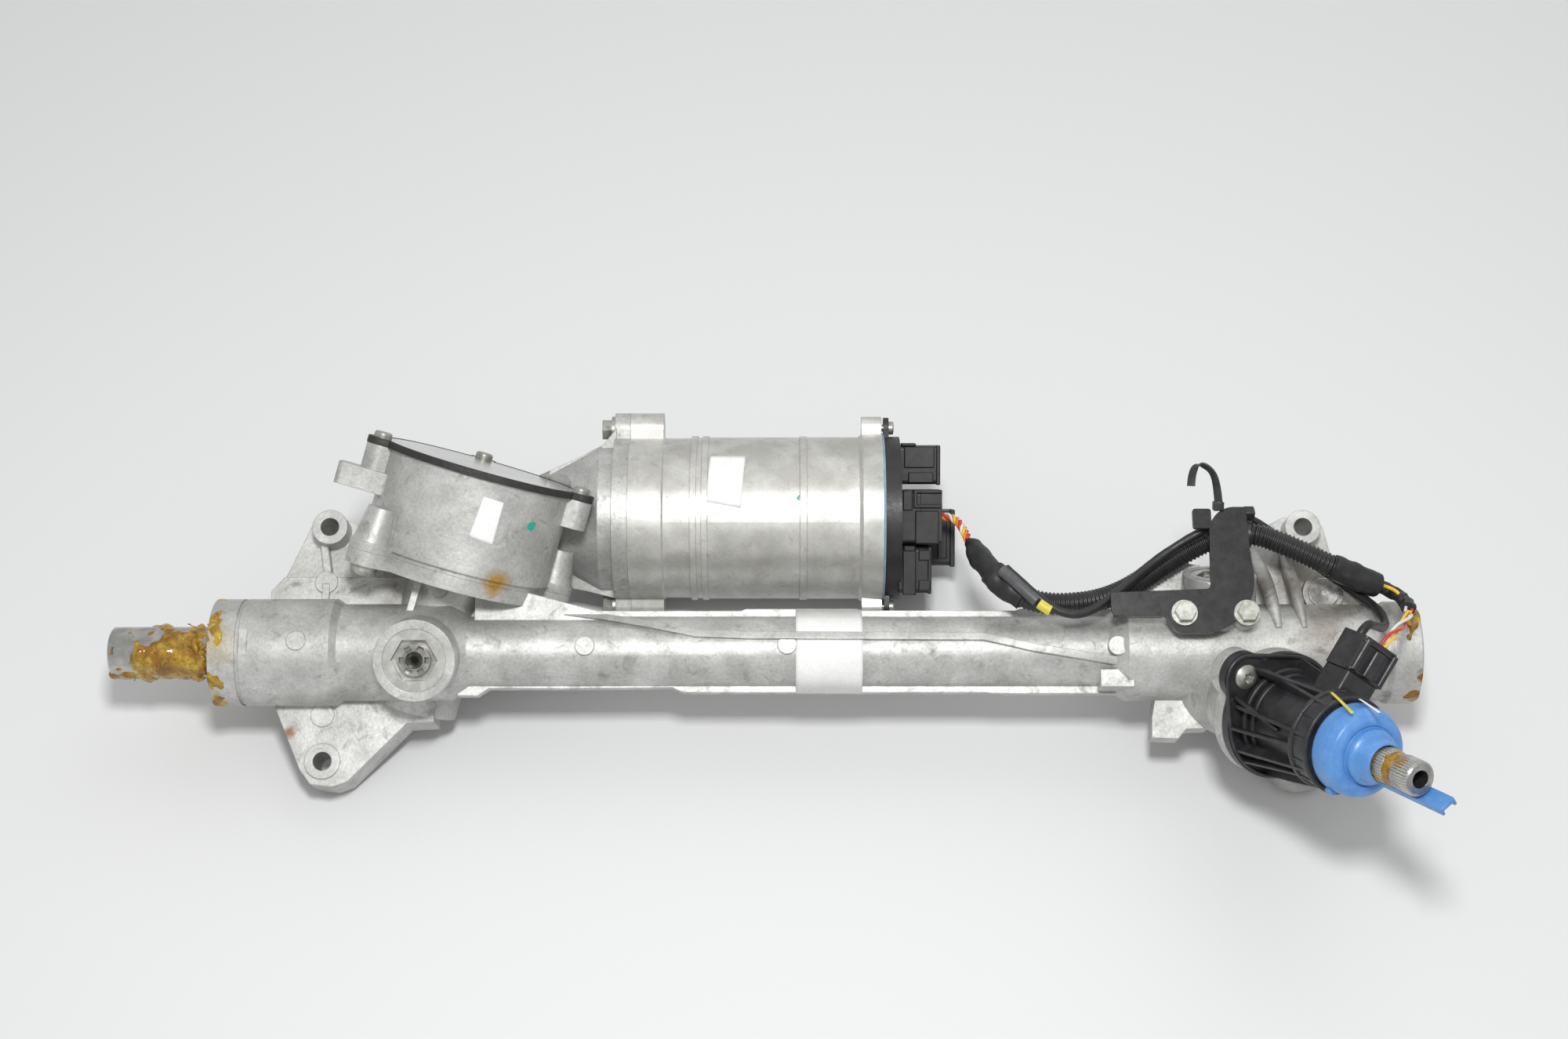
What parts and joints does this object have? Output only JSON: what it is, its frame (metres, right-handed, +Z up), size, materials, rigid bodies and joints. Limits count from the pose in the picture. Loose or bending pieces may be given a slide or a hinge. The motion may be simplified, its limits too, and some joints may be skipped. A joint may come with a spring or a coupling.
{
  "type": "steering rack",
  "caption": "Electric power steering gear: toothed rack in a cast housing, driven by a steering pinion and by a motor with worm gear.",
  "frame": {"origin": "on the rack's axis, at the left end of the housing, where the left boot seats", "axes": "+X along the rack towards the steering column's side, +Z up from the bench it lies on, with the motor behind at +Y"},
  "size_m": [0.712, 0.3038, 0.1598],
  "materials": {
    "cast_aluminium": "as-cast, shot-blasted",
    "motor_aluminium": "turned",
    "cover_steel": "stamped, plain",
    "steel_ground": "ground",
    "steel_dark": "sintered",
    "steel_plug": "turned",
    "zinc_steel": "zinc plated",
    "bush": "low-friction plastic",
    "gear_plastic": "machined polyamide",
    "iron": "laminated",
    "board": "lacquered board",
    "black_plastic": "moulded",
    "blue_plastic": "moulded",
    "seal_rubber": "moulded",
    "bracket_paint": "coated",
    "wire_sleeve": "wrapped",
    "conduit_plastic": "corrugated"
  },
  "bodies": {
    "housing": {"left_rack_bush": "bush", "right_rack_bush": "bush", "rack_housing": "cast_aluminium", "assist_yoke": "steel_dark", "assist_yoke_plug": "steel_plug", "assist_yoke_spring": "steel_dark", "steering_yoke": "steel_dark", "steering_yoke_plug": "steel_plug", "steering_yoke_spring": "steel_dark", "worm_housing": "cast_aluminium", "gear_cover_seal": "seal_rubber", "gear_cover": "cover_steel", "gear_cover_screws": "zinc_steel", "gearbox_bolts": "zinc_steel", "assist_pinion_bearings": "steel_ground", "steering_pinion_bearings": "steel_ground", "worm_bearings": "steel_ground", "stator": "iron", "motor_bearings": "steel_ground", "motor_housing": "motor_aluminium", "motor_bolts": "zinc_steel", "rear_shield": "cast_aluminium", "control_housing": "motor_aluminium", "circuit_board": "board", "control_seal": "seal_rubber", "end_cover": "black_plastic", "end_cover_screws": "zinc_steel", "signal_plug": "black_plastic", "sensor_seal": "seal_rubber", "sensor_housing": "black_plastic", "sensor_screws": "zinc_steel", "sensor_board": "board", "sensor_plug": "black_plastic", "harness_bracket": "bracket_paint", "bracket_bolts": "zinc_steel", "signal_leads": "wire_sleeve", "harness_tape": "wire_sleeve", "harness_conduit": "conduit_plastic", "harness_cable": "wire_sleeve", "sensor_leads": "wire_sleeve", "side_plug": "steel_plug"},
    "rack": {"rack_bar": "steel_ground"},
    "steering_pinion": {"steering_pinion": "steel_ground"},
    "input_shaft": {"input_shaft": "steel_ground", "torsion_bar": "steel_ground", "magnet_ring": "iron"},
    "assist_gear": {"assist_pinion": "steel_ground", "wheel_hub": "steel_dark", "worm_wheel": "gear_plastic"},
    "motor_rotor": {"worm": "steel_ground", "shaft_coupling": "steel_dark", "motor_shaft": "steel_ground", "motor_rotor": "iron"},
    "dust_cap": {"dust_cap": "blue_plastic"}
  },
  "joints": [
    {"name": "rack_slide", "type": "slide", "parent": "housing", "child": "rack", "axis": [1, 0, 0], "range_m": [-0.042, 0.108]},
    {"name": "steering_turn", "type": "hinge", "parent": "housing", "child": "steering_pinion", "pos_m": [0.5474, -0.01214, -0.01396], "axis": [0.3875, -0.6957, 0.6048], "range_deg": [-635, 248]},
    {"name": "assist_turn", "type": "hinge", "parent": "housing", "child": "assist_gear", "pos_m": [0.113, 0.01191, -0.01416], "axis": [0.279, 0.735, 0.618], "range_deg": [-258, 662]},
    {"name": "motor_turn", "type": "hinge", "parent": "housing", "child": "motor_rotor", "pos_m": [0.13337, 0.10031, -0.01037], "axis": [1, 0, 0], "range_deg": [-13537, 5265]},
    {"name": "torsion_turn", "type": "hinge", "parent": "steering_pinion", "child": "input_shaft", "pos_m": [0.5474, -0.01214, -0.01396], "axis": [0.3875, -0.6957, 0.6048], "range_deg": [-4, 4], "stiffness_Nm_per_rad": 120},
    {"name": "cap_pull", "type": "slide", "parent": "housing", "child": "dust_cap", "axis": [0.3875, -0.6957, 0.6048], "range_m": [0, 0.06]}
  ],
  "couplings": [
    {"joint": "steering_turn", "follows": "rack_slide", "rad_per_m": -102.43},
    {"joint": "assist_turn", "follows": "rack_slide", "rad_per_m": 106.7},
    {"joint": "motor_turn", "follows": "rack_slide", "rad_per_m": -2187.3}
  ]
}
